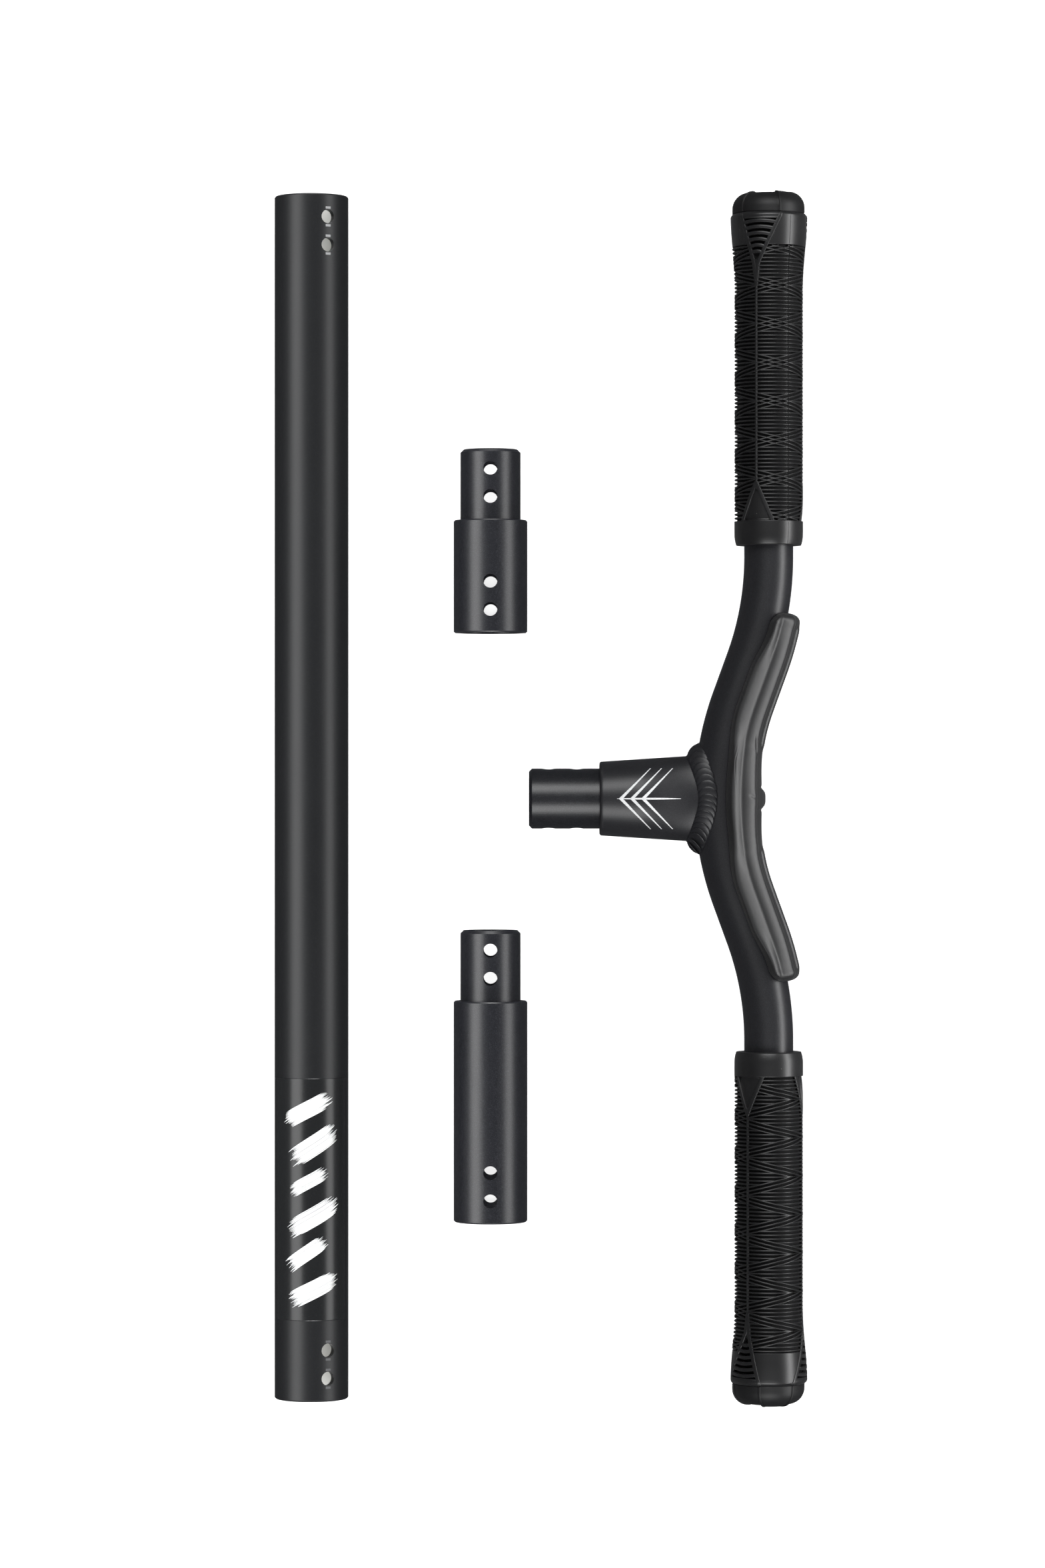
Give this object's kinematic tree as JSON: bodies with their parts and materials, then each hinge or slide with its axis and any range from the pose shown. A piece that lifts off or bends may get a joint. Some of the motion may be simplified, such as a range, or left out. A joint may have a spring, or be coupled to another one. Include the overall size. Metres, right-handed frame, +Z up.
{
  "type": "sectional t-handle control bar",
  "caption": "Sectional T-handle control bar laid out in pieces: a long stem tube, slip-fit extension sleeves, and a bent handlebar with welded neck, ribbed grips and rear pad.",
  "frame": {"origin": "middle of the laid-out kit's footprint, on the surface that it lies on", "axes": "+Z up off that surface; +Y along the stem tube, the grips and the extensions, towards the spigots of the extensions; +X from the stem tube to the handlebar, so the handle's spigot points to -X"},
  "size_m": [0.2414, 0.548, 0.0352],
  "materials": {
    "satin_black": "satin black coating on thick-walled aluminium tube",
    "blasted_black": "bead-blasted, black anodised",
    "grip_rubber": "moulded, matt with a slight sheen on the ribs",
    "cap_plastic": "moulded, matt",
    "pad_foam": "closed-cell foam",
    "pad_leather": "grained leatherette, soft sheen"
  },
  "bodies": {
    "laid_out_kit": {"stem_tube": "satin_black", "short_sleeve": "blasted_black", "short_spigot": "blasted_black", "handle_spigot": "blasted_black", "neck": "satin_black", "neck_weld": "satin_black", "handlebar": "satin_black", "right_grip": "grip_rubber", "left_grip": "grip_rubber", "right_end_cap": "cap_plastic", "left_end_cap": "cap_plastic", "pad_foam": "pad_foam", "pad_cover": "pad_leather"},
    "long_extension": {"long_sleeve": "blasted_black", "long_spigot": "blasted_black"}
  },
  "joints": [
    {"name": "long_extension_slip_fit", "type": "slide", "parent": "laid_out_kit", "child": "long_extension", "axis": [0, 1, 0], "range_m": [0, 0.1663]}
  ]
}
